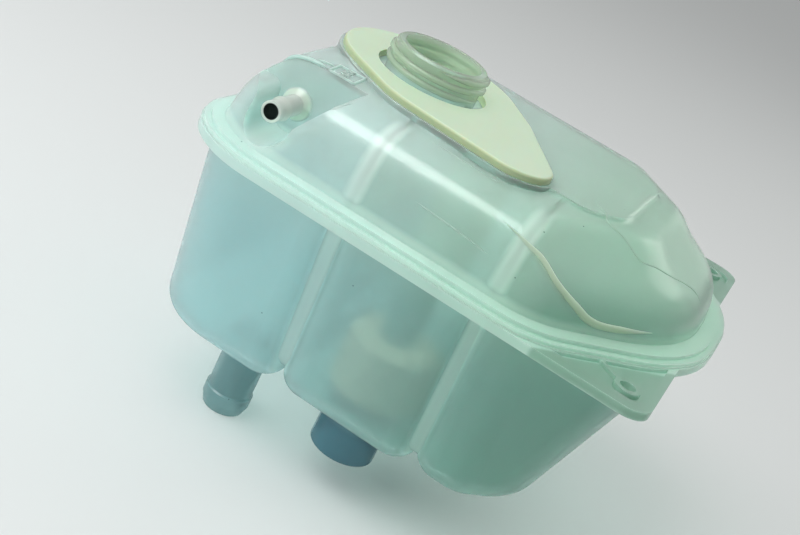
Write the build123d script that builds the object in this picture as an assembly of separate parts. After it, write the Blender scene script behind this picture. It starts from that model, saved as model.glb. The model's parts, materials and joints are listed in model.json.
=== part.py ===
from build123d import *
import os
from math import dist, hypot, radians, tan

# Coolant expansion tank, all sizes in millimetres.
# The origin lies midway between the two bracket holes, on the underside of the ears.
# X runs along the tank with the bracket end at plus X, the front is at minus Y, and Z is up.

# Welding flange, seen from above
half_width = 102.5
left_reach = 200.0
right_reach = 20.0
cut_start = 36.0
nose_half = 42.0
left_radius = 40.0
cut_radius = 34.0
nose_radius = 84.0
lower_flange = 3.7
upper_flange = 3.6
weld_step = 1.9
weld_inset = 0.8
step_inset = 2.6

# Bracket ears
hole_spacing = 174.0
hole_radius = 3.3
boss_radius = 5.4
boss_rise = 0.5
ear_reach = 12.0
ear_radius = 10.0
ear_side_rim = 7.5
ear_end_rim = 3.3
ear_recess = 1.5
ear_rib = 1.6
ear_rib_length = 20.0
ear_rib_turn = 35.0

# Walls
wall = 2.5
baffle = 2.4
air_gap_edge = 42.5
air_gap_height = 18.0
drain_edge = 65.0
drain_height = 9.0
drain_lift = 0.5

# Tub of the lower shell: three lobes with a groove at each baffle
tub_inset = 7.5
tub_left_inset = 7.0
groove_left = 122.0
groove_right = 58.0
groove_depth = 3.5
groove_radius = 12.0
left_depth = 82.5
middle_depth = 80.5
right_depth = 77.5
front_draft = 12.0
left_draft = 4.0
cut_draft = 4.0
right_draft = 28.0
bottom_round = 8.5
tub_cut_radius = 24.0
floor_cut_radius = 16.0
tub_nose_radius = 50.0

# Dome of the upper shell
dome_inset = 10.0
dome_left_inset = 8.3
dome_height = 34.7
top_left_radius = 27.0
top_nose_radius = 20.0

# Filler neck, with a land round it for the collar
neck_x = -135.0
neck_y = -17.0
neck_radius = 20.4
neck_bore = 17.2
neck_height = 14.2
neck_lead = 0.8
collar_back = (-138.0, -9.0, 40.0)
collar_front = (-122.0, -24.0, 37.0)
collar_tip = (-82.0, -50.0, 16.0)
collar_thickness = 3.0
collar_edge = 1.2
collar_gap = 4.1
land_margin = 1.5

# Bleed nipple and the pocket round it
nipple_x = -167.5
nipple_z = 21.0
nipple_edge = 39.5
nipple_length = 22.0
nipple_radius = 4.3
nipple_bore = 3.1
nipple_bead = 0.6
nipple_boss = 7.0
pocket_radius = 12.5
pocket_left = 8.5
pocket_flare = 16.0
pocket_ledge = 5.5
ledge_round = 5.0

# Hose stub
hose_x = -146.0
hose_edge = 49.5
hose_radius = 10.0
hose_bore = 7.8
hose_length = 37.0
hose_bead = 0.7
hose_bead_length = 5.0
hose_tip = 4.0

# Level sensor socket, its well and the float that rides on the well
sensor_x = -90.0
sensor_edge = 49.5
socket_radius = 14.5
socket_bore = 12.6
socket_length = 22.5
well_radius = 8.0
well_bore = 5.5
seat_radius = 12.0
seat_height = 4.2
float_radius = 19.0
float_height = 28.0
float_travel = 34.0
float_edge = 4.0
slide_gap = 0.6
rest_gap = 0.3
magnet_radius = 12.5
magnet_height = 5.0
stop_radius = 12.5
stop_gap = 1.4
stop_overlap = 6.0

# Levels and places that follow from the sizes above
seam_z = lower_flange
foot_z = seam_z + upper_flange
roof_z = foot_z + dome_height
rim_z = roof_z + neck_height
hole_y = hole_spacing / 2
nipple_root_y = nipple_edge - half_width
hose_y = hose_edge - half_width
sensor_y = sensor_edge - half_width
tray_z = seam_z - ear_recess
cut_slope = (right_reach + cut_start) / (half_width - nose_half)
cut_stretch = hypot(1.0, cut_slope)
hose_end = -left_depth - hose_length
socket_end = -middle_depth - socket_length
seat_z = seat_height + wall - middle_depth
float_bottom = seat_z + rest_gap
float_top = float_bottom + float_height
stop_z = float_top + float_travel + rest_gap
well_top = stop_z + stop_overlap
deepest = max(left_depth, middle_depth, right_depth)
shallowest = min(left_depth, middle_depth, right_depth)
drain_z = wall + bottom_round + drain_lift - shallowest
far = 2 * left_reach

# Roundings use at most this share of an edge
edge_share = 0.92

# The dome as level outlines: its rise, how far each side has come in from the foot, and its cut corners' radius
dome_levels = [
    # rise, left, front, back, front cut, back cut, right, radius
    (0.00, 0.0, 0.0, 0.0, 0.0, 0.0, 0.0, 34.0),
    (0.14, 1.0, 1.2, 1.5, 0.8, 1.5, 1.0, 26.0),
    (0.42, 3.5, 2.5, 6.0, 3.4, 8.0, 6.5, 13.0),
    (0.65, 8.5, 4.5, 15.0, 12.0, 20.3, 18.0, 9.0),
    (0.78, 12.0, 8.0, 25.0, 18.5, 26.4, 24.5, 9.0),
    (0.90, 15.5, 19.0, 37.0, 25.0, 32.5, 30.0, 12.0),
    (1.00, 23.0, 40.0, 55.0, 33.0, 42.5, 44.0, 14.0),
]


def cut_x(half, inset):
    """X of the slanting corner cut at a distance half from the middle plane."""
    return (half_width - half) * cut_slope - cut_start - inset * cut_stretch


def cut_half(x, inset):
    """Distance of the slanting corner cut from the middle plane at x."""
    return half_width - (x + cut_start + inset * cut_stretch) / cut_slope


def rounded(corners, radii):
    """Closed outline with rounded corners, each rounding held to the room on its two edges."""
    count = len(corners)
    shares = []
    for here in range(count):
        before = Vector(corners[here - 1]) - Vector(corners[here])
        after = Vector(corners[(here + 1) % count]) - Vector(corners[here])
        shares.append(tan(radians(180 - before.get_angle(after)) / 2))
    held = list(radii)
    for here in range(count):
        follow = (here + 1) % count
        room = edge_share * dist(corners[here], corners[follow])
        for mine, other in ((here, follow), (follow, here)):
            left_over = max(room / 2, room - radii[other] * shares[other])
            held[mine] = min(held[mine], left_over / shares[mine])
    return make_face(FilletPolyline(*corners, radius=held, close=True))


def shield(left, right, front, back, front_cut, back_cut, radii):
    """Plan outline with a slanting cut at both corners of the bracket end."""
    corners = [
        (left, -front),
        (cut_x(front, front_cut), -front),
        (right, -cut_half(right, front_cut)),
        (right, cut_half(right, back_cut)),
        (cut_x(back, back_cut), back),
        (left, back),
    ]
    round_left, round_cut, round_nose = radii
    return rounded(corners, [round_left, round_cut, round_nose, round_nose, round_cut, round_left])


def seam(inset):
    """Outline of the welding flange, moved in by inset."""
    side = half_width - inset
    radii = (left_radius - inset, cut_radius, nose_radius - inset)
    return shield(inset - left_reach, right_reach - inset, side, side, inset, inset, radii)


def plate(face, bottom, top):
    """Flat plate between two levels."""
    return Pos(0, 0, bottom) * extrude(face, top - bottom)


def rod(x, y, radius, bottom, top):
    """Upright cylinder between two levels."""
    return plate(Pos(x, y) * Circle(radius), bottom, top)


def block(x_low, x_high, y_low, y_high, z_low, z_high):
    """Upright box between limits."""
    centre = Pos((x_low + x_high) / 2, (y_low + y_high) / 2, (z_low + z_high) / 2)
    return centre * Box(x_high - x_low, y_high - y_low, z_high - z_low)


def turned(profile):
    """Body turned round the Z axis from points of radius and height."""
    return revolve(Plane.XZ * make_face(Polyline(*profile, close=True)), Axis.Z)


def dome_outline(level, inset):
    """Outline of the dome at one of its levels, moved in by inset."""
    rise, left, front, back, front_cut, back_cut, right, corner = level
    side = half_width - dome_inset - inset
    foot_radius = left_radius - dome_inset
    radii = (
        foot_radius + (top_left_radius - foot_radius) * rise - inset,
        corner - inset,
        nose_radius + (top_nose_radius - nose_radius) * rise - inset,
    )
    return shield(
        left + inset + dome_left_inset - left_reach,
        right_reach - dome_inset - right - inset,
        side - front,
        side - back,
        dome_inset + front_cut + inset,
        dome_inset + back_cut + inset,
        radii,
    )


def dome(inset):
    """Dome of the upper shell, with its sides and its roof moved in by inset."""
    height = dome_height - inset
    return loft([Pos(0, 0, foot_z + level[0] * height) * dome_outline(level, inset) for level in dome_levels])


def lobe(outlines, depth, inset):
    """Lobe of the tub between its outlines at the flange and at the floor, with a rounded floor edge."""
    top, floor = outlines
    body = loft([top, Pos(0, 0, inset - depth) * floor], ruled=True)
    return fillet(body.faces().sort_by(Axis.Z)[0].edges(), bottom_round)


def square_lobe(left, draft, round_left, right, depth, inset):
    """Left or middle lobe, with its outer walls moved in by inset."""
    outlines = []
    for share in (0.0, 1.0):
        side = half_width - tub_inset - inset - front_draft * share
        start = left + draft * share
        corners = [(start, -side), (right, -side), (right, side), (start, side)]
        outlines.append(rounded(corners, [round_left, groove_radius, groove_radius, round_left]))
    return lobe(outlines, depth, inset)


def nose_lobe(inset):
    """Lobe at the bracket end."""
    outlines = []
    for share in (0.0, 1.0):
        side = half_width - tub_inset - inset - front_draft * share
        cut = tub_inset + inset + cut_draft * share
        end = right_reach - tub_inset - inset - right_draft * share
        radii = (groove_radius, tub_cut_radius + (floor_cut_radius - tub_cut_radius) * share, tub_nose_radius)
        outlines.append(shield(-groove_right, end, side, side, cut, cut, radii))
    return lobe(outlines, right_depth, inset)


def tub(inset):
    """Three lobes of the tub, with their outer walls moved in by inset."""
    left_end = tub_left_inset + inset - left_reach
    left_round = left_radius - tub_inset - inset
    left = square_lobe(left_end, left_draft, left_round, -groove_left, left_depth, inset)
    middle = square_lobe(-groove_left, 0.0, groove_radius, -groove_right, middle_depth, inset)
    return left + middle + nose_lobe(inset)


def groove_core():
    """Body inside the tub that closes the bottom of both grooves."""
    side = half_width - tub_inset - groove_depth
    low_side = side - front_draft
    depth = shallowest - groove_depth
    start = -groove_left - groove_radius
    end = groove_radius - groove_right
    corners = [(-side, 0), (-low_side, -depth), (low_side, -depth), (side, 0)]
    outline = FilletPolyline(*corners, radius=[0, bottom_round, bottom_round, 0], close=True)
    return extrude(Plane.YZ.offset(start) * make_face(outline), end - start)


def land(margin):
    """Drop-shaped outline round the filler neck."""
    circles = (collar_back, collar_front, collar_tip)
    return make_hull([(Pos(x, y) * Circle(radius + margin)).edge() for x, y, radius in circles])


def nipple_pocket(grow):
    """Space cut from the front left corner of the dome, grown by the wall for the inside."""
    radius = pocket_radius + grow
    left = pocket_left + grow
    ledge = pocket_ledge - grow
    height = roof_z - nipple_z + wall
    left_arch = CenterArc((0, left - radius), left, 180, 90)
    right_arch = CenterArc((0, 0), radius, 270, 90)
    sides = Polyline(
        (radius, 0),
        (radius + pocket_flare, height),
        (-far, height),
        (-far, ledge),
        (-left, ledge),
        (-left, left - radius),
    )
    face = make_face([left_arch, right_arch, sides])
    corner = face.vertices().sort_by_distance((-left, ledge))[0]
    face = Plane.XZ * Pos(nipple_x, nipple_z) * fillet(corner, ledge_round - grow)
    return Pos(0, nipple_root_y + grow) * extrude(face, half_width)


def nipple(profile):
    """Body turned round the axis of the nipple from points of radius and distance from its root."""
    return Pos(nipple_x, nipple_root_y, nipple_z) * Rot(90, 0, 0) * turned(profile)


def make_upper_shell():
    """Dome with its neck, nipple, flange, baffles and the tube that stops the float."""
    body = dome(0.0) + plate(land(land_margin), foot_z, roof_z) - nipple_pocket(0.0)
    body += plate(seam(weld_inset), seam_z, seam_z + weld_step)
    body += plate(seam(weld_inset + step_inset), seam_z, foot_z)
    room = dome(wall) + plate(land(land_margin - wall), foot_z, roof_z - wall) - nipple_pocket(wall)
    room += plate(dome_outline(dome_levels[0], wall), seam_z, foot_z)
    gap_half = half_width - dome_inset - air_gap_edge
    for groove in (groove_left, groove_right):
        sheet = block(-groove - baffle / 2, baffle / 2 - groove, -far, far, seam_z, roof_z)
        sheet -= block(-far, far, -gap_half, gap_half, roof_z - wall - air_gap_height, roof_z)
        room -= sheet
    room -= rod(sensor_x, sensor_y, stop_radius, seam_z, roof_z)
    shell = body - room
    shell += rod(sensor_x, sensor_y, stop_radius, stop_z, seam_z)
    shell -= rod(sensor_x, sensor_y, well_radius + stop_gap, stop_z, well_top + stop_overlap)
    neck = [
        (0, roof_z - wall),
        (neck_radius, roof_z - wall),
        (neck_radius, rim_z - neck_lead),
        (neck_radius - neck_lead, rim_z),
        (0, rim_z),
    ]
    shell += Pos(neck_x, neck_y) * turned(neck)
    shell -= rod(neck_x, neck_y, neck_bore, roof_z - 2 * wall, rim_z)
    bead_start = nipple_length - 2 * nipple_radius
    outside = [
        (0, -wall),
        (nipple_boss, -wall),
        (nipple_boss, 0),
        (nipple_radius, nipple_boss - nipple_radius),
        (nipple_radius, bead_start),
        (nipple_radius + nipple_bead, bead_start + nipple_bead),
        (nipple_radius, bead_start + nipple_radius),
        (nipple_radius, nipple_length),
        (0, nipple_length),
    ]
    shell += nipple(outside)
    shell -= nipple([(0, -2 * wall), (nipple_bore, -2 * wall), (nipple_bore, nipple_length), (0, nipple_length)])
    return shell


def ear_outline(start, side_inset, end_inset):
    """Plate with both bracket ears, with its sides and its end moved in."""
    side = half_width - side_inset
    end = ear_reach - end_inset
    turn = ear_radius - end_inset
    corners = [(start, -side), (end, -side), (end, side), (start, side)]
    return make_face(FilletPolyline(*corners, radius=[0, turn, turn, 0], close=True))


def make_ears():
    """Bracket ears with a raised rim, and with a rib and a boss round each hole."""
    start = -cut_start - cut_radius
    ears = plate(ear_outline(start, 0.0, 0.0), 0, seam_z)
    ears -= plate(ear_outline(start, ear_side_rim, ear_end_rim), tray_z, seam_z)
    rib = block(-ear_rib_length, 0, -ear_rib / 2, ear_rib / 2, 0, seam_z)
    for side in (-1, 1):
        y = side * hole_y
        ears += Pos(0, y) * Rot(0, 0, side * ear_rib_turn) * rib
        ears += rod(0, y, boss_radius, 0, seam_z + boss_rise)
    return ears


def make_lower_shell():
    """Tub with its stubs, sensor well, baffles, flange and ears."""
    body = tub(0.0) + groove_core() + make_ears() + plate(seam(0.0), 0, seam_z)
    hose = [
        (0, 2 * wall - left_depth),
        (hose_radius, 2 * wall - left_depth),
        (hose_radius, hose_end + hose_tip + hose_bead_length + hose_bead),
        (hose_radius + hose_bead, hose_end + hose_tip + hose_bead_length),
        (hose_radius + hose_bead, hose_end + hose_tip),
        (hose_radius - hose_bead, hose_end),
        (0, hose_end),
    ]
    body += Pos(hose_x, hose_y) * turned(hose)
    body += rod(sensor_x, sensor_y, socket_radius, socket_end, wall - middle_depth)
    room = tub(wall) + plate(seam(tub_inset + wall), 0, seam_z)
    drain_half = half_width - tub_inset - drain_edge
    for groove in (groove_left, groove_right):
        sheet = block(-groove - baffle / 2, baffle / 2 - groove, -far, far, -deepest, seam_z)
        sheet -= block(-far, far, -drain_half, drain_half, drain_z, drain_z + drain_height)
        room -= sheet
    room -= rod(sensor_x, sensor_y, well_radius, -middle_depth, well_top)
    room -= rod(sensor_x, sensor_y, seat_radius, -middle_depth, seat_z)
    shell = body - room
    shell -= rod(hose_x, hose_y, hose_bore, hose_end, 2 * wall - left_depth)
    shell -= rod(sensor_x, sensor_y, socket_bore, socket_end, -middle_depth)
    shell -= rod(sensor_x, sensor_y, well_bore, -middle_depth, well_top - wall)
    for side in (-1, 1):
        shell -= rod(0, side * hole_y, hole_radius, 0, seam_z + boss_rise)
    return shell


def make_collar():
    """Loose plate round the filler neck."""
    top = roof_z + collar_thickness
    collar = plate(land(0.0), roof_z, top)
    collar = fillet(collar.faces().sort_by(Axis.Z)[-1].edges(), collar_edge)
    return collar - rod(neck_x, neck_y, neck_radius + collar_gap, roof_z, top)


def make_float():
    """Hollow-centred float with a seat for its magnet."""
    body = rod(sensor_x, sensor_y, float_radius, float_bottom, float_top)
    body = fillet(body.edges().filter_by(GeomType.CIRCLE), float_edge)
    body -= rod(sensor_x, sensor_y, well_radius + slide_gap, float_bottom, float_top)
    return body - rod(sensor_x, sensor_y, magnet_radius, float_bottom, float_bottom + magnet_height)


def make_magnet():
    """Ring magnet in the underside of the float."""
    top = float_bottom + magnet_height
    ring = rod(sensor_x, sensor_y, magnet_radius, float_bottom, top)
    return ring - rod(sensor_x, sensor_y, well_radius + 2 * slide_gap, float_bottom, top)


nodes = {
    "upper_shell": make_upper_shell(),
    "lower_shell": make_lower_shell(),
    "neck_collar": make_collar(),
    "level_float": make_float(),
    "float_magnet": make_magnet(),
}
os.makedirs("parts", exist_ok=True)
for name, shape in nodes.items():
    export_step(shape, f"parts/{name}.step")
    box = shape.bounding_box()
    print(name, len(shape.solids()), round(shape.volume), box.min, box.max)
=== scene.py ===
"""Finishes and small mouldings of a welded coolant expansion tank, set round its solids."""

import json
from math import radians

import bmesh
import bpy
from bpy.props import FloatProperty, FloatVectorProperty, PointerProperty
from mathutils import Euler, Matrix, Vector


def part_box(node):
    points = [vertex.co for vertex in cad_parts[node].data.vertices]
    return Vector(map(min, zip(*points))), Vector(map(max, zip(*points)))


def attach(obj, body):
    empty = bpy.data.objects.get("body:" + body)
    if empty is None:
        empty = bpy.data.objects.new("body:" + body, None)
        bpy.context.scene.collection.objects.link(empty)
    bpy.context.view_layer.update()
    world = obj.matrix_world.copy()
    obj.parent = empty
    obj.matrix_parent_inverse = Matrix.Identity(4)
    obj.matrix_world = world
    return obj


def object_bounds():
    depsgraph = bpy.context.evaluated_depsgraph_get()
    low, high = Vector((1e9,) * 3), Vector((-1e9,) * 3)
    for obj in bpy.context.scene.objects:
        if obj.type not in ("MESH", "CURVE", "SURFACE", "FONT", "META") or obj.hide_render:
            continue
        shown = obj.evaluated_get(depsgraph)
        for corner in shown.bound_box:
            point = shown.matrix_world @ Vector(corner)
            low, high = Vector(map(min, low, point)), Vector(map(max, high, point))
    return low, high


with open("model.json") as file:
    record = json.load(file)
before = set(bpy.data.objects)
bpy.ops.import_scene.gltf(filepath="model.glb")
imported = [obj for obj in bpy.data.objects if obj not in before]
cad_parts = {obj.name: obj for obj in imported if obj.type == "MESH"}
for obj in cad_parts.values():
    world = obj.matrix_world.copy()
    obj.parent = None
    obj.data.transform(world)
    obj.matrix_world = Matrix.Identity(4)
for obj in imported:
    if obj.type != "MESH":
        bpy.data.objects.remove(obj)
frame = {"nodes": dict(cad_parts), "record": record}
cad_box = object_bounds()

bl_info = {
    "name": "Coolant expansion tank",
    "version": (1, 0, 0),
    "blender": (4, 5, 0),
    "location": "View3D > Sidebar > Tank",
    "description": "Finishes and small mouldings of a welded coolant expansion tank",
    "category": "Object",
}

MM = 0.001
BODY = "tank"

# Distance under which two points are the same
SAME_POINT = 0.001 * MM

mounts = {mount["name"]: mount for mount in frame["record"]["mounts"]}
neck_rim = Vector(mounts["filler_bore"]["pos_m"])
nipple_tip = Vector(mounts["bleed_bore"]["pos_m"])
nipple_bore = mounts["bleed_bore"]["dims"]["r_mm"] * MM
collar_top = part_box("neck_collar")[1].z
flange_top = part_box("lower_shell")[1].z
tank_low, tank_high = cad_box

# Middle planes of the two baffles in the tank
BAFFLES = (-122 * MM, -58 * MM)

# Slant of the cut corners at the bracket end, as Y over X
CUT_SLANT = 1.08

# Spans over which one finish of the shells turns into the next, each as from and to
# Over this span the shells turn darker towards the bracket end as painted shade
FILLER_TO_SHADED_BRACKET = (tank_low.x + 40 * MM, tank_high.x - 30 * MM)
RIM_TO_EDGE = (tank_low.x + 40 * MM, tank_high.x - 60 * MM)
TUB_TO_DOME = (-25 * MM, 30 * MM)
TUB_TO_STUBS = (-81 * MM, -90 * MM)
STUB_TO_SOCKET = (-124 * MM, -112 * MM)
ROOF_TO_NECK = (collar_top - 1 * MM, collar_top + 2 * MM)
ROOF_TO_WALL = (64 * MM, 82 * MM)
FLANGE_TO_EAR = (63 * MM, 66 * MM)
INSIDE_TO_NIPPLE = (nipple_tip.y + 26 * MM, nipple_tip.y + 23 * MM)
POCKET_TO_NIPPLE = (7.0 * MM, 6.0 * MM)
NIPPLE_TO_BORE = (nipple_bore + 0.3 * MM, nipple_bore + 0.05 * MM)

# How far the flange and a baffle show beside their middle planes: not at all, and in full
FLANGE_REACH = (7.5 * MM, 4.0 * MM)
BAFFLE_REACH = (5.0 * MM, 1.5 * MM)

# How clear the polypropylene is in a plain wall and in its thickest parts
CLEAR_WALL = 0.7
CLEAR_SOLID = 0.2

# Shares by which its thick parts take on a paler colour, and by which they count as solid
THICK_TINT = 0.4
BAND_TINT = 0.6
TUBE_TINT = 0.7
BAND_SOLID = 0.7
FLANGE_SOLID = 0.5

# Its marks of flow, its specks and the grain of its skin
FLOW_SIZE = 38 * MM
FLOW_TINT = (0.90, 0.93, 0.93, 1.0)
SPECK_SPACING = 16 * MM
WALL_TO_SPECK = (0.025, 0.015)
SKIN_GRAIN = 1.6 * MM

# Collar: how far its faces look up at its lit top and at its edge in painted shade, its clouds and its grain
LIT_TOP_TO_SHADED_EDGE = (0.97, 0.6)
CLOUD_SIZE = 25 * MM
CLOUD_TINT = (0.93, 0.95, 0.90, 1.0)
COLLAR_GRAIN = 1.2 * MM

# Foam and ferrite: beads and their duller seams, grains and their brighter faces
BEAD_SIZE = 3.0 * MM
SEAM_TO_BEAD = (0.75, 0.35)
SEAM_DULL = 0.82
FERRITE_GRAIN = 0.8 * MM
GRAIN_BRIGHT = 1.8

# Milky body of the polypropylene, and the names of its two finishes
MILKY = {
    "IOR": 1.49,
    "Subsurface Weight": 1.0,
    "Subsurface Radius": (0.9, 1.0, 1.0),
    "Subsurface Scale": 6.0 * MM,
}
WALL_FINISH = "moulded_natural_polypropylene"
THICK_AND_HIGHLIT_FINISH = "thick_and_highlit_polypropylene"
WHITE = (1.0, 1.0, 1.0, 1.0)
QUARTER_TURN = Euler((0.0, 0.0, radians(90.0)))


def linear(code):
    """Linear colour of an sRGB hex value."""
    parts = [int(code[at:at + 2], 16) / 255 for at in (1, 3, 5)]
    return tuple(part / 12.92 if part <= 0.04045 else ((part + 0.055) / 1.055) ** 2.4 for part in parts)


def length(label, words, default):
    """Size of the tank that a user may change."""
    return FloatProperty(
        name=label, description=words, default=default, min=0.0, subtype="DISTANCE", unit="LENGTH"
    )


def colour(label, words, code):
    """Colour of the tank that a user may change."""
    return FloatVectorProperty(
        name=label, description=words, default=linear(code), size=3, min=0.0, max=1.0, subtype="COLOR"
    )


class TankSizes(bpy.types.PropertyGroup):
    """Sizes of the small mouldings."""

    neck_radius: length("Neck radius", "Outside of the filler neck under its thread", 20.4 * MM)
    thread_pitch: length("Thread pitch", "Rise of the filler thread in one turn", 4.0 * MM)
    thread_depth: length("Thread depth", "Height of the thread over the neck", 1.7 * MM)
    thread_foot: length("Thread foot", "Width of the thread where it meets the neck", 2.9 * MM)
    thread_crest: length("Thread crest", "Width of the thread at its top", 1.3 * MM)
    thread_turns: FloatProperty(
        name="Thread turns", description="Turns of the filler thread", default=2.2, min=0.5
    )
    ridge_radius: length("Ridge radius", "Half width of the raised lines of the level mark", 0.7 * MM)
    crease_radius: length("Crease radius", "Half width of the fine lines on the dome", 0.4 * MM)
    edge_radius: length("Edge radius", "Half width of the rounded edges on the front of the dome", 1.6 * MM)
    rim_radius: length("Rim radius", "Half width of the rim over the pocket of the nipple", 1.2 * MM)
    letter_height: length("Letter height", "Height of the letters of the level mark", 3.4 * MM)
    letter_rise: length("Letter rise", "How far the letters stand out", 0.6 * MM)
    bead_radius: length("Weld bead radius", "Half width of the bead pressed out of the weld", 0.6 * MM)
    bead_grain: length("Weld bead grain", "Length over which the bead swells and thins", 5.0 * MM)


class TankColours(bpy.types.PropertyGroup):
    """Colours of the mouldings and of the floor."""

    dome_left: colour("Dome, filler end", "Polypropylene of the dome at the filler end", "#e9f7f2")
    # Painted shade: the dome turns darker towards the bracket end, where less lamp light falls
    dome_right_in_shade: colour("Dome, bracket end", "Polypropylene of the dome at the bracket end", "#d0ebda")
    tub_left: colour("Tub, filler end", "Polypropylene of the tub at the filler end", "#d3eff0")
    # Painted shade: the tub turns darker towards the bracket end, where less lamp light falls
    tub_right_in_shade: colour("Tub, bracket end", "Polypropylene of the tub at the bracket end", "#a8cfc3")
    # Painted shade: the hose stub and the sensor socket, low under the tank, are coloured darker for the shade
    # they hang in
    stub: colour("Hose stub", "Polypropylene of the hose stub", "#a3c4c6")
    socket: colour("Sensor socket", "Polypropylene of the sensor socket", "#5f93a3")
    neck: colour("Filler neck", "Polypropylene of the filler neck", "#d3e3cd")
    ear: colour("Ears", "Polypropylene of the bracket ears", "#9cbcab")
    thick: colour("Thick plastic", "Polypropylene at the flange and where a baffle meets a wall", "#dcefe2")
    rim: colour("Rim and level mark", "Polypropylene of the pocket's rim and the level mark", "#b2d6c9")
    # Painted highlight: this pale colour on the dome's rounded edges stands partly for the highlight along
    # them, partly for thicker plastic
    edge: colour("Rounded edges", "Polypropylene of the rounded edges on the dome", "#b9dcae")
    light: colour("Light let in", "Share of a lamp's light that passes one face of a wall", "#f1f4f3")
    specks: colour("Specks", "Dark specks of dirt in the polypropylene", "#5d7472")
    # Painted shade: the inside of the bleed bore is painted near black for the darkness deep in the hole
    bore: colour("Bleed bore", "Inside of the bleed nipple", "#0a0d0d")
    collar: colour("Collar", "Cream plastic of the collar", "#c8dbc2")
    # Painted shade: the collar's faces that turn down from the top are coloured darker and yellower
    collar_edge_shade: colour("Collar edge", "Cream plastic where the collar's edge turns down", "#b7c79f")
    foam: colour("Float", "Foam of the float", "#ffe4cc")
    ferrite: colour("Magnet", "Sintered ferrite of the magnet", "#26262a")
    floor: colour("Floor", "Floor of the stage", "#dfe2e1")


def add(tree, kind, values=None, links=None, **settings):
    """New node with its settings, its socket values and what feeds its sockets."""
    node = tree.nodes.new(kind)
    for name, value in settings.items():
        setattr(node, name, value)
    for socket, value in (values or {}).items():
        node.inputs[socket].default_value = value
    for socket, source in (links or {}).items():
        tree.links.new(source, node.inputs[socket])
    return node


def rgba(value):
    """Colour with full alpha."""
    return (*value, 1.0)


def new_material(name):
    """Empty material and its tree."""
    material = bpy.data.materials.new(name)
    material.use_nodes = True
    material.node_tree.nodes.clear()
    return material, material.node_tree


def close_material(tree, shader):
    """Send a shader to the material's surface."""
    add(tree, "ShaderNodeOutputMaterial", links={"Surface": shader})


def blend(tree, share, first, second, blend_type="MIX"):
    """Colour mixed from two by a share; each is a socket or a plain colour."""
    node = add(tree, "ShaderNodeMix", data_type="RGBA", blend_type=blend_type)
    factor, low, high = node.inputs[0], node.inputs[6], node.inputs[7]
    for socket, source in ((factor, share), (low, first), (high, second)):
        if isinstance(source, bpy.types.NodeSocket):
            tree.links.new(source, socket)
        else:
            socket.default_value = source
    return node.outputs[2]


def ramp(tree, source, low, high):
    """Share that runs from 0 at low to 1 at high."""
    node = add(
        tree, "ShaderNodeMapRange", {"From Min": low, "From Max": high}, {"Value": source},
        interpolation_type="SMOOTHSTEP",
    )
    return node.outputs["Result"]


def away(tree, source, centre=0.0):
    """Distance of a coordinate from a centre."""
    apart = add(tree, "ShaderNodeMath", {1: centre}, {0: source}, operation="SUBTRACT")
    return add(tree, "ShaderNodeMath", links={0: apart.outputs[0]}, operation="ABSOLUTE").outputs[0]


def near(tree, source, centre, far, close):
    """Share that is 1 within close of a centre and 0 beyond far."""
    return ramp(tree, away(tree, source, centre), far, close)


def both(tree, first, second):
    """Product of two shares."""
    return add(tree, "ShaderNodeMath", links={0: first, 1: second}, operation="MULTIPLY").outputs[0]


def largest(tree, shares):
    """Largest of several shares."""
    most = shares[0]
    for share in shares[1:]:
        most = add(tree, "ShaderNodeMath", links={0: most, 1: share}, operation="MAXIMUM").outputs[0]
    return most


def from_nipple(tree, place):
    """Distance from the axis of the bleed nipple."""
    offset = add(tree, "ShaderNodeVectorMath", {1: nipple_tip}, {0: place}, operation="SUBTRACT")
    across = add(
        tree, "ShaderNodeVectorMath", {1: (1.0, 0.0, 1.0)}, {0: offset.outputs["Vector"]}, operation="MULTIPLY"
    )
    reach = add(tree, "ShaderNodeVectorMath", links={0: across.outputs["Vector"]}, operation="LENGTH")
    return reach.outputs["Value"]


def scaled(tree, share, factor):
    """Share times a factor."""
    return add(tree, "ShaderNodeMath", {1: factor}, {0: share}, operation="MULTIPLY").outputs[0]


def baffle_bands(tree, split, flange):
    """Share of a side wall, away from the flange, with a baffle right behind it."""
    x, y = split.outputs["X"], split.outputs["Y"]
    walls = ramp(tree, away(tree, y), *ROOF_TO_WALL)
    plain = add(tree, "ShaderNodeMath", {0: 1.0}, {1: flange}, operation="SUBTRACT").outputs[0]
    bands = largest(tree, [near(tree, x, baffle, *BAFFLE_REACH) for baffle in BAFFLES])
    return both(tree, bands, both(tree, walls, plain))


def wall_colour(tree, colours, split, thick):
    """Colour of a milky wall: paler where it is thick, deeper in the ears, and darker at the bracket end and in
    the stubs as painted shade, where less lamp light falls.
    """
    x, y, z = split.outputs
    # Painted shade: the walls darken from the filler end to the bracket end
    along = ramp(tree, x, *FILLER_TO_SHADED_BRACKET)
    tub = blend(tree, along, rgba(colours.tub_left), rgba(colours.tub_right_in_shade))
    dome = blend(tree, along, rgba(colours.dome_left), rgba(colours.dome_right_in_shade))
    body = blend(tree, ramp(tree, z, *TUB_TO_DOME), tub, dome)
    # Painted shade: the stubs under the tank darken towards the sensor socket
    stubs_in_shade = blend(tree, ramp(tree, x, *STUB_TO_SOCKET), rgba(colours.stub), rgba(colours.socket))
    body = blend(tree, ramp(tree, z, *TUB_TO_STUBS), body, stubs_in_shade)
    body = blend(tree, ramp(tree, z, *ROOF_TO_NECK), body, rgba(colours.neck))
    body = blend(tree, scaled(tree, thick, THICK_TINT), body, rgba(colours.thick))
    slant = add(tree, "ShaderNodeMath", {1: CUT_SLANT}, {0: x, 2: away(tree, y)}, operation="MULTIPLY_ADD")
    return blend(tree, ramp(tree, slant.outputs[0], *FLANGE_TO_EAR), body, rgba(colours.ear))


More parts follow.
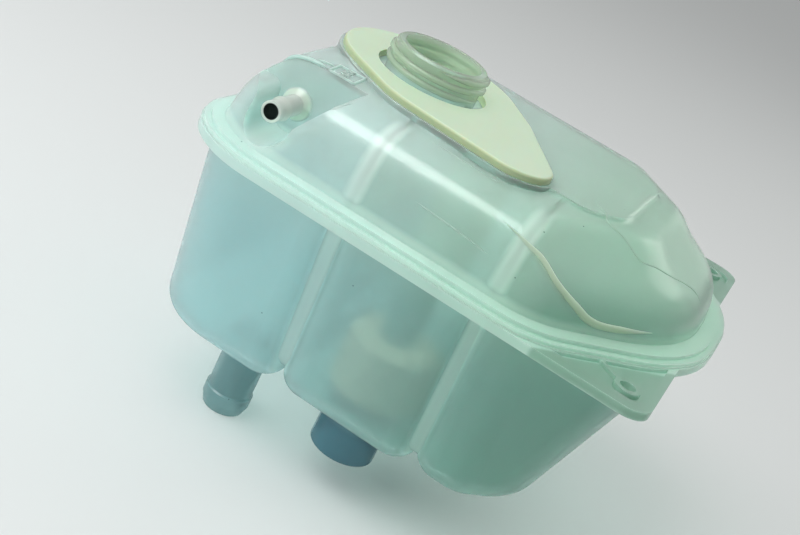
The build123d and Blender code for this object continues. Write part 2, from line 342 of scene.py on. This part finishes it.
def polypropylene(colours):
    """Natural polypropylene, injection moulded: a milky wall with a satin skin that lamps shine into."""
    material, tree = new_material(WALL_FINISH)
    place = add(tree, "ShaderNodeTexCoord").outputs["Object"]
    split = add(tree, "ShaderNodeSeparateXYZ", links={"Vector": place})
    radius = from_nipple(tree, place)
    front = ramp(tree, split.outputs["Y"], *INSIDE_TO_NIPPLE)
    tube = both(tree, ramp(tree, radius, *POCKET_TO_NIPPLE), front)
    bore = both(tree, ramp(tree, radius, *NIPPLE_TO_BORE), front)
    flange = near(tree, split.outputs["Z"], flange_top, *FLANGE_REACH)
    bands = baffle_bands(tree, split, flange)
    body = wall_colour(tree, colours, split, largest(tree, [scaled(tree, bands, BAND_TINT), flange]))
    body = blend(tree, scaled(tree, tube, TUBE_TINT), body, rgba(colours.neck))
    solid = largest(tree, [scaled(tree, bands, BAND_SOLID), scaled(tree, flange, FLANGE_SOLID), tube])
    flow = add(tree, "ShaderNodeTexNoise", {"Scale": 1 / FLOW_SIZE, "Detail": 2.0}, {"Vector": place})
    tint = blend(tree, flow.outputs["Fac"], FLOW_TINT, WHITE)
    body = blend(tree, 1.0, body, tint, "MULTIPLY")
    grit = add(tree, "ShaderNodeTexVoronoi", {"Scale": 1 / SPECK_SPACING}, {"Vector": place})
    body = blend(tree, ramp(tree, grit.outputs["Distance"], *WALL_TO_SPECK), body, rgba(colours.specks))
    # Painted shade: the bore of the nipple is painted near black
    body = blend(tree, bore, body, rgba(colours.bore))
    skin = add(tree, "ShaderNodeTexNoise", {"Scale": 1 / SKIN_GRAIN, "Detail": 2.0}, {"Vector": place})
    relief = add(
        tree, "ShaderNodeBump", {"Strength": 0.05, "Distance": 0.2 * MM}, {"Height": skin.outputs["Fac"]}
    )
    gloss = add(tree, "ShaderNodeMapRange", {"To Min": 0.16, "To Max": 0.24}, {"Value": flow.outputs["Fac"]})
    clear = add(tree, "ShaderNodeMapRange", {"To Min": CLEAR_WALL, "To Max": CLEAR_SOLID}, {"Value": solid})
    shader = add(
        tree, "ShaderNodeBsdfPrincipled", MILKY,
        {
            "Base Color": body,
            "Roughness": gloss.outputs["Result"],
            "Transmission Weight": clear.outputs["Result"],
            "Normal": relief.outputs["Normal"],
        },
    )
    through = add(tree, "ShaderNodeBsdfTransparent", {"Color": rgba(colours.light)})
    ray = add(tree, "ShaderNodeLightPath")
    wall = add(
        tree, "ShaderNodeMixShader",
        links={0: ray.outputs["Is Shadow Ray"], 1: shader.outputs["BSDF"], 2: through.outputs["BSDF"]},
    )
    close_material(tree, wall.outputs["Shader"])
    return material


def highlit_thick_polypropylene(colours):
    """Natural polypropylene where a moulding is rounded and thick: paler and less clear than a wall; on the
    dome's rounded edges its pale colour is partly a painted highlight.
    """
    material, tree = new_material(THICK_AND_HIGHLIT_FINISH)
    place = add(tree, "ShaderNodeTexCoord").outputs["Object"]
    split = add(tree, "ShaderNodeSeparateXYZ", links={"Vector": place})
    along = ramp(tree, split.outputs["X"], *RIM_TO_EDGE)
    # Towards the dome's rounded edges the colour turns to one that is partly a painted highlight
    body = blend(tree, along, rgba(colours.rim), rgba(colours.edge))
    shader = add(
        tree, "ShaderNodeBsdfPrincipled",
        MILKY | {"Roughness": 0.35, "Transmission Weight": 0.15}, {"Base Color": body},
    )
    close_material(tree, shader.outputs["BSDF"])
    return material


def cream_plastic(colours):
    """Cream polyamide, injection moulded: opaque and satin, with painted shade that makes it darker and
    yellower where its faces turn down from the top.
    """
    material, tree = new_material("moulded_cream_polyamide")
    coordinates = add(tree, "ShaderNodeTexCoord")
    place = coordinates.outputs["Object"]
    facing = add(tree, "ShaderNodeSeparateXYZ", links={"Vector": coordinates.outputs["Normal"]})
    # Painted shade by which way a face looks: light on top, darker where it turns down
    shaded_side = ramp(tree, facing.outputs["Z"], *LIT_TOP_TO_SHADED_EDGE)
    body = blend(tree, shaded_side, rgba(colours.collar), rgba(colours.collar_edge_shade))
    cloud = add(tree, "ShaderNodeTexNoise", {"Scale": 1 / CLOUD_SIZE, "Detail": 2.0}, {"Vector": place})
    tint = blend(tree, cloud.outputs["Fac"], CLOUD_TINT, WHITE)
    body = blend(tree, 1.0, body, tint, "MULTIPLY")
    skin = add(tree, "ShaderNodeTexNoise", {"Scale": 1 / COLLAR_GRAIN, "Detail": 2.0}, {"Vector": place})
    relief = add(
        tree, "ShaderNodeBump", {"Strength": 0.06, "Distance": 0.2 * MM}, {"Height": skin.outputs["Fac"]}
    )
    shader = add(
        tree, "ShaderNodeBsdfPrincipled",
        {"IOR": 1.53, "Roughness": 0.42, "Subsurface Weight": 0.3, "Subsurface Scale": 2.0 * MM},
        {"Base Color": body, "Normal": relief.outputs["Normal"]},
    )
    close_material(tree, shader.outputs["BSDF"])
    return material


def float_foam(colours):
    """Closed-cell polypropylene foam, steam moulded: a dull skin of pressed beads about 3 mm across."""
    material, tree = new_material("steam_moulded_polypropylene_foam")
    place = add(tree, "ShaderNodeTexCoord").outputs["Object"]
    beads = add(tree, "ShaderNodeTexVoronoi", {"Scale": 1 / BEAD_SIZE}, {"Vector": place})
    seams = ramp(tree, beads.outputs["Distance"], *SEAM_TO_BEAD)
    dull = [SEAM_DULL * part for part in colours.foam]
    body = blend(tree, seams, rgba(dull), rgba(colours.foam))
    relief = add(tree, "ShaderNodeBump", {"Strength": 0.4, "Distance": 0.3 * MM}, {"Height": seams})
    shader = add(
        tree, "ShaderNodeBsdfPrincipled", {"Roughness": 0.75},
        {"Base Color": body, "Normal": relief.outputs["Normal"]},
    )
    close_material(tree, shader.outputs["BSDF"])
    return material


def sintered_ferrite(colours):
    """Sintered ferrite, ground flat: a dark grey ceramic with a fine grain."""
    material, tree = new_material("ground_sintered_ferrite")
    place = add(tree, "ShaderNodeTexCoord").outputs["Object"]
    grain = add(tree, "ShaderNodeTexNoise", {"Scale": 1 / FERRITE_GRAIN, "Detail": 3.0}, {"Vector": place})
    bright = [GRAIN_BRIGHT * part for part in colours.ferrite]
    body = blend(tree, grain.outputs["Fac"], rgba(colours.ferrite), rgba(bright))
    relief = add(
        tree, "ShaderNodeBump", {"Strength": 0.15, "Distance": 0.1 * MM}, {"Height": grain.outputs["Fac"]}
    )
    shader = add(
        tree, "ShaderNodeBsdfPrincipled", {"Roughness": 0.55},
        {"Base Color": body, "Normal": relief.outputs["Normal"]},
    )
    close_material(tree, shader.outputs["BSDF"])
    return material


def dress(node, material):
    """Give a solid one finish."""
    slots = frame["nodes"][node].data.materials
    slots.clear()
    slots.append(material)


def made_material(name):
    """Polypropylene that the shell operator made."""
    material = bpy.data.materials.get(name)
    if material is None:
        raise RuntimeError("dress the shells before the pieces on them")
    return material


def new_tree(name, inputs):
    """Geometry node tree from geometry to geometry, with named inputs; returns it and its input sockets."""
    tree = bpy.data.node_groups.new(name, "GeometryNodeTree")
    tree.interface.new_socket("Geometry", in_out="INPUT", socket_type="NodeSocketGeometry")
    for label, kind in inputs.items():
        tree.interface.new_socket(label, in_out="INPUT", socket_type=f"NodeSocket{kind}")
    tree.interface.new_socket("Geometry", in_out="OUTPUT", socket_type="NodeSocketGeometry")
    return tree, add(tree, "NodeGroupInput").outputs


def close_tree(tree, mesh, material, smooth=True):
    """Shade, realise and colour the result of a tree."""
    shaded = add(tree, "GeometryNodeSetShadeSmooth", {"Shade Smooth": smooth}, {"Geometry": mesh})
    real = add(tree, "GeometryNodeRealizeInstances", links={"Geometry": shaded.outputs["Geometry"]})
    coloured = add(
        tree, "GeometryNodeSetMaterial", links={"Geometry": real.outputs["Geometry"], "Material": material}
    )
    add(tree, "NodeGroupOutput", links={"Geometry": coloured.outputs["Geometry"]})


def grown(name, tree, carrier, inputs):
    """Plain mesh piece that a tree makes from a carrier mesh, riding on the tank."""
    piece = bpy.data.objects.new(name, carrier)
    bpy.context.scene.collection.objects.link(piece)
    modifier = piece.modifiers.new(name, "NODES")
    modifier.node_group = tree
    for item in tree.interface.items_tree:
        if item.in_out == "INPUT" and item.name in inputs:
            modifier[item.identifier] = inputs[item.name]
    graph = bpy.context.evaluated_depsgraph_get()
    made = bpy.data.meshes.new_from_object(piece.evaluated_get(graph))
    piece.modifiers.remove(modifier)
    piece.data = made
    if not made.polygons:
        raise RuntimeError(f"{name} came out empty")
    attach(piece, BODY)


def lines(name, paths, closed=False):
    """Mesh of lines through points."""
    points, edges = [], []
    for path in paths:
        first = len(points)
        points += path
        edges += [(at, at + 1) for at in range(first, len(points) - 1)]
        if closed:
            edges.append((len(points) - 1, first))
    mesh = bpy.data.meshes.new(name)
    mesh.from_pydata(points, edges, [])
    return mesh


def fading(tree, share):
    """Scale that runs out at both ends over a share of the length."""
    along = add(tree, "GeometryNodeSplineParameter").outputs["Factor"]
    left = add(tree, "ShaderNodeMath", {0: 1.0}, {1: along}, operation="SUBTRACT")
    end = add(tree, "ShaderNodeMath", links={0: along, 1: left.outputs[0]}, operation="MINIMUM")
    fade = add(tree, "ShaderNodeMapRange", {"To Min": 0.05}, {"Value": end.outputs[0], "From Max": share})
    return fade.outputs["Result"]


def thread_tree():
    """Tree of a coarse thread that fades out at both ends."""
    sizes = ("Radius", "Pitch", "Turns", "Foot", "Crest", "Depth", "Fade")
    inputs = {label: "Float" for label in sizes} | {"Start": "Vector", "Material": "Material"}
    tree, given = new_tree("filler_thread", inputs)
    rise = add(tree, "ShaderNodeMath", links={0: given["Pitch"], 1: given["Turns"]}, operation="MULTIPLY")
    helix = add(
        tree, "GeometryNodeCurveSpiral", {"Resolution": 72},
        {
            "Rotations": given["Turns"],
            "Start Radius": given["Radius"],
            "End Radius": given["Radius"],
            "Height": rise.outputs[0],
        },
    )
    upright = add(tree, "GeometryNodeSetCurveNormal", links={"Curve": helix.outputs["Curve"]}, mode="Z_UP")
    profile = add(
        tree, "GeometryNodeCurvePrimitiveQuadrilateral", {"Offset": 0.0},
        {"Bottom Width": given["Foot"], "Top Width": given["Crest"], "Height": given["Depth"]},
        mode="TRAPEZOID",
    )
    outward = add(
        tree, "GeometryNodeTransform", {"Rotation": QUARTER_TURN}, {"Geometry": profile.outputs["Curve"]}
    )
    swept = add(
        tree, "GeometryNodeCurveToMesh", {"Fill Caps": True},
        {
            "Curve": upright.outputs["Curve"],
            "Profile Curve": outward.outputs["Geometry"],
            "Scale": fading(tree, given["Fade"]),
        },
    )
    placed = add(
        tree, "GeometryNodeTransform",
        links={"Geometry": swept.outputs["Mesh"], "Translation": given["Start"]},
    )
    close_tree(tree, placed.outputs["Geometry"], given["Material"])
    return tree


def landing(tree, given, source):
    """Ray from a position to the shell along a direction."""
    shell = add(tree, "GeometryNodeObjectInfo", links={"Object": given["Shell"]})
    return add(
        tree, "GeometryNodeRaycast",
        links={
            "Target Geometry": shell.outputs["Geometry"],
            "Source Position": source,
            "Ray Direction": given["Direction"],
            "Ray Length": given["Reach"],
        },
    ).outputs


def ridge_tree():
    """Tree of raised lines laid on a shell along a direction."""
    inputs = {label: "Float" for label in ("Reach", "Step", "Radius", "Flat", "Fade")}
    inputs |= {"Shell": "Object", "Direction": "Vector", "Smooth": "Bool", "Material": "Material"}
    tree, given = new_tree("moulded_ridges", inputs)
    curve = add(tree, "GeometryNodeMeshToCurve", links={"Mesh": given["Geometry"]}).outputs["Curve"]
    bent = add(tree, "GeometryNodeCurveSplineType", links={"Curve": curve}, spline_type="CATMULL_ROM")
    chosen = add(
        tree, "GeometryNodeSwitch",
        links={"Switch": given["Smooth"], "False": curve, "True": bent.outputs["Curve"]},
        input_type="GEOMETRY",
    )
    even = add(
        tree, "GeometryNodeResampleCurve",
        links={"Curve": chosen.outputs["Output"], "Length": given["Step"]}, mode="LENGTH",
    )
    hit = landing(tree, given, add(tree, "GeometryNodeInputPosition").outputs["Position"])
    laid = add(
        tree, "GeometryNodeSetPosition",
        links={
            "Geometry": even.outputs["Curve"],
            "Selection": hit["Is Hit"],
            "Position": hit["Hit Position"],
        },
    )
    upright = add(tree, "GeometryNodeSetCurveNormal", links={"Curve": laid.outputs["Geometry"]}, mode="Z_UP")
    profile = add(tree, "GeometryNodeCurvePrimitiveCircle", {"Resolution": 12}, {"Radius": given["Radius"]})
    shares = add(tree, "ShaderNodeCombineXYZ", {"Y": 1.0, "Z": 1.0}, {"X": given["Flat"]})
    pressed = add(
        tree, "GeometryNodeTransform",
        links={"Geometry": profile.outputs["Curve"], "Scale": shares.outputs["Vector"]},
    )
    swept = add(
        tree, "GeometryNodeCurveToMesh", {"Fill Caps": True},
        {
            "Curve": upright.outputs["Curve"],
            "Profile Curve": pressed.outputs["Geometry"],
            "Scale": fading(tree, given["Fade"]),
        },
    )
    close_tree(tree, swept.outputs["Mesh"], given["Material"])
    return tree


def letter_tree():
    """Tree of raised letters laid on a shell from above, reading from front to back."""
    inputs = {label: "Float" for label in ("Reach", "Size", "Rise", "Sink")}
    inputs |= {"Text": "String", "Place": "Vector", "Direction": "Vector"}
    inputs |= {"Shell": "Object", "Material": "Material"}
    tree, given = new_tree("raised_letters", inputs)
    written = add(
        tree, "GeometryNodeStringToCurves", links={"String": given["Text"], "Size": given["Size"]},
        align_x="CENTER", align_y="MIDDLE",
    )
    real = add(tree, "GeometryNodeRealizeInstances", links={"Geometry": written.outputs["Curve Instances"]})
    flat = add(tree, "GeometryNodeFillCurve", links={"Curve": real.outputs["Geometry"]})
    foot = add(
        tree, "GeometryNodeTransform", {"Rotation": QUARTER_TURN},
        {"Geometry": flat.outputs["Mesh"], "Translation": given["Place"]},
    ).outputs["Geometry"]
    height = add(tree, "ShaderNodeMath", links={0: given["Rise"], 1: given["Sink"]}, operation="ADD")
    raised = add(
        tree, "GeometryNodeExtrudeMesh", {"Individual": False},
        {"Mesh": foot, "Offset Scale": height.outputs[0]},
    )
    under = add(tree, "GeometryNodeFlipFaces", links={"Mesh": foot})
    joined = add(tree, "GeometryNodeJoinGeometry", links={"Geometry": raised.outputs["Mesh"]})
    tree.links.new(under.outputs["Mesh"], joined.inputs["Geometry"])
    closed = add(
        tree, "GeometryNodeMergeByDistance", {"Distance": SAME_POINT}, {"Geometry": joined.outputs["Geometry"]}
    )
    here = add(tree, "GeometryNodeInputPosition").outputs["Position"]
    hit = landing(tree, given, here)
    local = add(tree, "ShaderNodeVectorMath", links={0: here, 1: given["Place"]}, operation="SUBTRACT")
    apart = add(tree, "ShaderNodeSeparateXYZ", links={"Vector": local.outputs["Vector"]})
    lift = add(tree, "ShaderNodeMath", links={0: apart.outputs["Z"], 1: given["Sink"]}, operation="SUBTRACT")
    upward = add(tree, "ShaderNodeCombineXYZ", links={"Z": lift.outputs[0]})
    laid = add(
        tree, "GeometryNodeSetPosition",
        links={
            "Geometry": closed.outputs["Geometry"],
            "Position": hit["Hit Position"],
            "Offset": upward.outputs["Vector"],
        },
    )
    close_tree(tree, laid.outputs["Geometry"], given["Material"], smooth=False)
    return tree


def bead_tree():
    """Tree of an uneven bead along the weld."""
    inputs = {"Step": "Float", "Radius": "Float", "Grain": "Float", "Material": "Material"}
    tree, given = new_tree("weld_bead", inputs)
    curve = add(tree, "GeometryNodeMeshToCurve", links={"Mesh": given["Geometry"]})
    even = add(
        tree, "GeometryNodeResampleCurve",
        links={"Curve": curve.outputs["Curve"], "Length": given["Step"]}, mode="LENGTH",
    )
    spacing = add(tree, "ShaderNodeMath", {0: 1.0}, {1: given["Grain"]}, operation="DIVIDE")
    swell = add(tree, "ShaderNodeTexNoise", {"Detail": 2.0}, {"Scale": spacing.outputs[0]})
    share = add(
        tree, "ShaderNodeMapRange",
        {"From Min": 0.3, "From Max": 0.75, "To Min": 0.45, "To Max": 1.0}, {"Value": swell.outputs["Fac"]},
    )
    profile = add(tree, "GeometryNodeCurvePrimitiveCircle", {"Resolution": 8}, {"Radius": given["Radius"]})
    swept = add(
        tree, "GeometryNodeCurveToMesh",
        links={
            "Curve": even.outputs["Curve"],
            "Profile Curve": profile.outputs["Curve"],
            "Scale": share.outputs["Result"],
        },
    )
    close_tree(tree, swept.outputs["Mesh"], given["Material"])
    return tree


def spread(loop):
    """Length of a loop of points along X."""
    places = [point.x for point in loop]
    return max(places) - min(places)


def outer_loop(node, level):
    """Points of the outermost outline of a solid at a level, in order."""
    cut = bmesh.new()
    cut.from_mesh(frame["nodes"][node].data)
    bmesh.ops.remove_doubles(cut, verts=cut.verts, dist=SAME_POINT)
    whole = cut.verts[:] + cut.edges[:] + cut.faces[:]
    bmesh.ops.bisect_plane(
        cut, geom=whole, plane_co=(0, 0, level), plane_no=(0, 0, 1), clear_inner=True, clear_outer=True
    )
    loops = []
    waiting = dict.fromkeys(cut.verts)
    while waiting:
        here = next(iter(waiting))
        loop = []
        while here is not None:
            del waiting[here]
            loop.append(here.co.copy())
            beside = [edge.other_vert(here) for edge in here.link_edges]
            here = next((point for point in beside if point in waiting), None)
        loops.append(loop)
    cut.free()
    return max(loops, key=spread)


# Level mark on the front shoulder, seen from above
MARK_LOW = Vector((-161.5, -62.0)) * MM
MARK_HIGH = Vector((-150.0, -51.5)) * MM
MARK_WORD = "MAX"

# Line up to the mark: its length, and how far its two ends lie in front of the back of the frame
LEAD_LENGTH = 8 * MM
LEAD_START = 6 * MM
LEAD_END = 4 * MM

# Height of a capital letter as a share of the font's size
CAPITAL_SHARE = 0.7

# Mould lines in millimetres: on the top and the pocket's rim as x and y, on the front and its edge as x and z
TOP_CREASES = [
    [(-49, -38), (-39, -47), (-30, -47), (-22, -46.7), (-16, -40.6), (-9, -32), (0, -16.6), (6, -11.5)],
    [(-110, -70), (-94, -70.5), (-78, -70)],
    [(-146, -85), (-144, -81), (-142, -77)],
]
FRONT_CREASES = [
    [(-100, 22.6), (-83, 21.6), (-66, 20)],
]
EDGE_LINES = [
    [
        (-67, 32.5), (-58, 30.7), (-49, 27.9), (-40, 22.5),
        (-31.5, 17.2), (-24.5, 12.6), (-17, 11.4), (-3.7, 12.6),
    ],
]
RIM_LINES = [
    [(-181, -61.2), (-172, -61.2), (-162, -61.2)],
]

# Lines laid on the shell: their directions, how far they look for it and the steps along them
DOWN = Vector((0.0, 0.0, -1.0))
BACKWARD = Vector((0.0, 1.0, 0.0))
REACH = 0.3
RIDGE_STEP = 1.0 * MM

# Shares of a line over which each of its ends runs out
NO_FADE = 0.001
THREAD_FADE = 0.05
CREASE_FADE = 0.12
RIDGE_FADE = 0.2

# Height of the rounded edge as a share of its width
EDGE_FLAT = 0.25


def in_metres(paths):
    """Paths given in millimetres."""
    return [[Vector(point) * MM for point in path] for path in paths]


def from_above(paths, closed=False):
    """Mesh of paths of x and y, held level with the top of the tank."""
    return lines("seen_from_above", [[(x, y, tank_high.z) for x, y in path] for path in paths], closed)


def from_front(paths):
    """Mesh of paths of x and z, held level with the front of the tank."""
    return lines("seen_from_front", [[(x, tank_low.y, z) for x, z in path] for path in paths])


def lay_ridges(name, carrier, direction, radius, fade, flat=1.0, smooth=False, material=WALL_FINISH):
    """Raised lines on the upper shell where a carrier's lines fall on it."""
    inputs = {
        "Reach": REACH,
        "Step": RIDGE_STEP,
        "Radius": radius,
        "Flat": flat,
        "Fade": fade,
        "Shell": frame["nodes"]["upper_shell"],
        "Direction": direction,
        "Smooth": smooth,
        "Material": made_material(material),
    }
    grown(name, ridge_tree(), carrier, inputs)


# Thread: its top under the rim of the neck, and its foot in the neck
THREAD_DROP = 1.5 * MM
THREAD_SINK = 0.1 * MM

# Weld: where the outline is taken over the joint, how far under it the bead lies and the steps along the bead
WELD_CUT = 0.6 * MM
BEAD_DROP = 0.3 * MM
BEAD_STEP = 1.5 * MM


class TANK_OT_shells(bpy.types.Operator):
    """Give both shells their polypropylene, and make the one for thick mouldings on them, which on the dome's
    rounded edges is partly a painted highlight
    """

    bl_idname = "tank.shells"
    bl_label = "Shells"

    def execute(self, context):
        colours = context.scene.tank_colours
        material = polypropylene(colours)
        dress("upper_shell", material)
        dress("lower_shell", material)
        highlit_thick_polypropylene(colours)
        return {"FINISHED"}


class TANK_OT_collar(bpy.types.Operator):
    """Give the collar its cream plastic"""

    bl_idname = "tank.collar"
    bl_label = "Neck collar"

    def execute(self, context):
        dress("neck_collar", cream_plastic(context.scene.tank_colours))
        return {"FINISHED"}


class TANK_OT_float(bpy.types.Operator):
    """Give the float its foam and the magnet its ferrite"""

    bl_idname = "tank.float"
    bl_label = "Float and magnet"

    def execute(self, context):
        colours = context.scene.tank_colours
        dress("level_float", float_foam(colours))
        dress("float_magnet", sintered_ferrite(colours))
        return {"FINISHED"}


class TANK_OT_thread(bpy.types.Operator):
    """Wind the thread round the filler neck"""

    bl_idname = "tank.thread"
    bl_label = "Filler thread"

    def execute(self, context):
        sizes = context.scene.tank_sizes
        rise = sizes.thread_pitch * sizes.thread_turns
        start = neck_rim - Vector((0.0, 0.0, rise + THREAD_DROP))
        inputs = {
            "Radius": sizes.neck_radius + sizes.thread_depth / 2 - THREAD_SINK,
            "Pitch": sizes.thread_pitch,
            "Turns": sizes.thread_turns,
            "Foot": sizes.thread_foot,
            "Crest": sizes.thread_crest,
            "Depth": sizes.thread_depth,
            "Fade": THREAD_FADE,
            "Start": start,
            "Material": made_material(WALL_FINISH),
        }
        grown("filler_thread", thread_tree(), bpy.data.meshes.new("filler_thread"), inputs)
        return {"FINISHED"}


class TANK_OT_weld(bpy.types.Operator):
    """Lay the bead that the weld pressed out between the flanges"""

    bl_idname = "tank.weld"
    bl_label = "Weld bead"

    def execute(self, context):
        sizes = context.scene.tank_sizes
        loop = outer_loop("upper_shell", flange_top + WELD_CUT)
        line = [(point.x, point.y, flange_top - BEAD_DROP) for point in loop]
        inputs = {
            "Step": BEAD_STEP,
            "Radius": sizes.bead_radius,
            "Grain": sizes.bead_grain,
            "Material": made_material(WALL_FINISH),
        }
        grown("weld_bead", bead_tree(), lines("weld_bead", [line], closed=True), inputs)
        return {"FINISHED"}


class TANK_OT_mark(bpy.types.Operator):
    """Raise the level mark: a frame, its letters and a line that runs up to it"""

    bl_idname = "tank.mark"
    bl_label = "Level mark"

    def execute(self, context):
        sizes = context.scene.tank_sizes
        low, high = MARK_LOW, MARK_HIGH
        frame_line = [(low.x, low.y), (high.x, low.y), (high.x, high.y), (low.x, high.y)]
        leads = [[(low.x - LEAD_LENGTH, high.y - LEAD_START), (low.x, high.y - LEAD_END)]]
        radius = sizes.ridge_radius
        box = from_above([frame_line], closed=True)
        lay_ridges("level_mark_frame", box, DOWN, radius, NO_FADE, material=THICK_AND_HIGHLIT_FINISH)
        lay_ridges("level_mark_lines", from_above(leads), DOWN, radius, RIDGE_FADE, material=THICK_AND_HIGHLIT_FINISH)
        middle = (low + high) / 2
        inputs = {
            "Reach": REACH,
            "Size": sizes.letter_height / CAPITAL_SHARE,
            "Rise": sizes.letter_rise,
            "Sink": sizes.letter_rise,
            "Text": MARK_WORD,
            "Place": Vector((middle.x, middle.y, tank_high.z)),
            "Direction": DOWN,
            "Shell": frame["nodes"]["upper_shell"],
            "Material": made_material(THICK_AND_HIGHLIT_FINISH),
        }
        grown("level_mark_letters", letter_tree(), bpy.data.meshes.new("level_mark_letters"), inputs)
        return {"FINISHED"}


class TANK_OT_creases(bpy.types.Operator):
    """Lay the fine lines that the mould left on the dome, its rounded edge and the rim of the pocket"""

    bl_idname = "tank.creases"
    bl_label = "Mould lines"

    def execute(self, context):
        sizes = context.scene.tank_sizes
        radius = sizes.crease_radius
        top, front = from_above(in_metres(TOP_CREASES)), from_front(in_metres(FRONT_CREASES))
        lay_ridges("dome_creases", top, DOWN, radius, CREASE_FADE, smooth=True)
        lay_ridges("wall_creases", front, BACKWARD, radius, CREASE_FADE, smooth=True)
        rim, edges = from_above(in_metres(RIM_LINES)), from_front(in_metres(EDGE_LINES))
        lay_ridges("pocket_rim", rim, DOWN, sizes.rim_radius, RIDGE_FADE, smooth=True, material=THICK_AND_HIGHLIT_FINISH)
        # The rounded edge takes the pale finish that is partly a painted highlight
        lay_ridges(
            "dome_edges", edges, BACKWARD, sizes.edge_radius, RIDGE_FADE, EDGE_FLAT, smooth=True,
            material=THICK_AND_HIGHLIT_FINISH,
        )
        return {"FINISHED"}


class TANK_OT_stage(bpy.types.Operator):
    """Set up the floor, the light and the camera"""

    bl_idname = "tank.stage"
    bl_label = "Stage"

    def execute(self, context):
        scene = context.scene
        scene.view_settings.view_transform = "Standard"
        make_floor(scene)
        make_light(scene)
        make_camera(scene)
        return {"FINISHED"}


# Stage: half the floor, the strength of the sky, and the place, size, power and tone of each lamp
FLOOR_HALF = 8.0
SKY_STRENGTH = 0.45
LAMPS = {
    "key_lamp": ((-0.55, -0.45, 1.05), 0.9, 10.0, (1.0, 1.0, 1.0)),
    "left_lamp": ((-1.0, -0.7, 0.75), 0.7, 3.4, (0.90, 0.96, 1.0)),
    "back_lamp": ((0.5, 0.9, 0.7), 0.6, 1.2, (1.0, 1.0, 0.96)),
}


def make_floor(scene):
    """Pale matt floor under the tank."""
    turns = ((-1, -1), (1, -1), (1, 1), (-1, 1))
    corners = [(x * FLOOR_HALF, y * FLOOR_HALF, tank_low.z) for x, y in turns]
    mesh = bpy.data.meshes.new("floor")
    mesh.from_pydata(corners, [], [(0, 1, 2, 3)])
    floor = bpy.data.objects.new("floor", mesh)
    scene.collection.objects.link(floor)
    material, tree = new_material("matt_painted_floor")
    shader = add(
        tree, "ShaderNodeBsdfPrincipled",
        {"Base Color": rgba(scene.tank_colours.floor), "Roughness": 0.9, "Specular IOR Level": 0.2},
    )
    close_material(tree, shader.outputs["BSDF"])
    mesh.materials.append(material)


def make_light(scene):
    """Soft lamps over the tank and an even grey sky."""
    world = bpy.data.worlds.new("studio")
    world.use_nodes = True
    sky = world.node_tree
    sky.nodes.clear()
    even = add(sky, "ShaderNodeBackground", {"Color": WHITE, "Strength": SKY_STRENGTH})
    add(sky, "ShaderNodeOutputWorld", links={"Surface": even.outputs["Background"]})
    scene.world = world
    aim = (tank_low + tank_high) / 2
    for name, (place, size, power, tone) in LAMPS.items():
        data = bpy.data.lights.new(name, "AREA")
        data.shape = "DISK"
        data.size = size
        data.energy = power
        data.color = tone
        lamp = bpy.data.objects.new(name, data)
        lamp.location = place
        lamp.rotation_euler = (aim - Vector(place)).to_track_quat("-Z", "Y").to_euler()
        scene.collection.objects.link(lamp)


# Camera fitted to the picture: its place in metres, its angles in degrees and its focal length in pixels
VIEW_POINT = Vector((0.0122, -0.5381, 0.1935))
VIEW_TURN = 13.3
VIEW_DROP = 23.1
VIEW_ROLL = 27.0
FOCAL_PIXELS = 1345.0
IMAGE_WIDTH = 800.0


def make_camera(scene):
    """Camera that sees the tank as the picture does."""
    data = bpy.data.cameras.new("camera")
    data.lens = FOCAL_PIXELS / IMAGE_WIDTH * data.sensor_width
    data.clip_start = 0.01
    camera = bpy.data.objects.new("camera", data)
    turn, drop = radians(VIEW_TURN), radians(VIEW_DROP)
    pose = Euler((radians(90.0) - drop, 0.0, turn)).to_matrix()
    spin = Matrix.Rotation(radians(VIEW_ROLL), 3, "Z")
    camera.matrix_world = Matrix.Translation(VIEW_POINT) @ (pose @ spin).to_4x4()
    scene.collection.objects.link(camera)
    scene.camera = camera


class TANK_PT_panel(bpy.types.Panel):
    """Tank's operators, sizes and colours"""

    bl_idname = "TANK_PT_panel"
    bl_label = "Coolant tank"
    bl_space_type = "VIEW_3D"
    bl_region_type = "UI"
    bl_category = "Tank"

    def draw(self, context):
        layout = self.layout
        for operator in operators:
            layout.operator(operator.bl_idname)
        for group in (context.scene.tank_sizes, context.scene.tank_colours):
            box = layout.box()
            for name in group.__annotations__:
                box.prop(group, name)


operators = (
    TANK_OT_shells,
    TANK_OT_collar,
    TANK_OT_float,
    TANK_OT_thread,
    TANK_OT_weld,
    TANK_OT_mark,
    TANK_OT_creases,
    TANK_OT_stage,
)
classes = (TankSizes, TankColours, *operators, TANK_PT_panel)


def register():
    """Make the classes and their settings known."""
    for item in classes:
        bpy.utils.register_class(item)
    bpy.types.Scene.tank_sizes = PointerProperty(type=TankSizes)
    bpy.types.Scene.tank_colours = PointerProperty(type=TankColours)


def unregister():
    """Take the settings and the classes away."""
    del bpy.types.Scene.tank_colours
    del bpy.types.Scene.tank_sizes
    for item in reversed(classes):
        bpy.utils.unregister_class(item)


def main():
    """Make every piece."""
    register()
    bpy.ops.tank.shells()
    bpy.ops.tank.collar()
    bpy.ops.tank.float()
    bpy.ops.tank.thread()
    bpy.ops.tank.weld()
    bpy.ops.tank.mark()
    bpy.ops.tank.creases()
    bpy.ops.tank.stage()


if __name__ == "__main__":
    main()
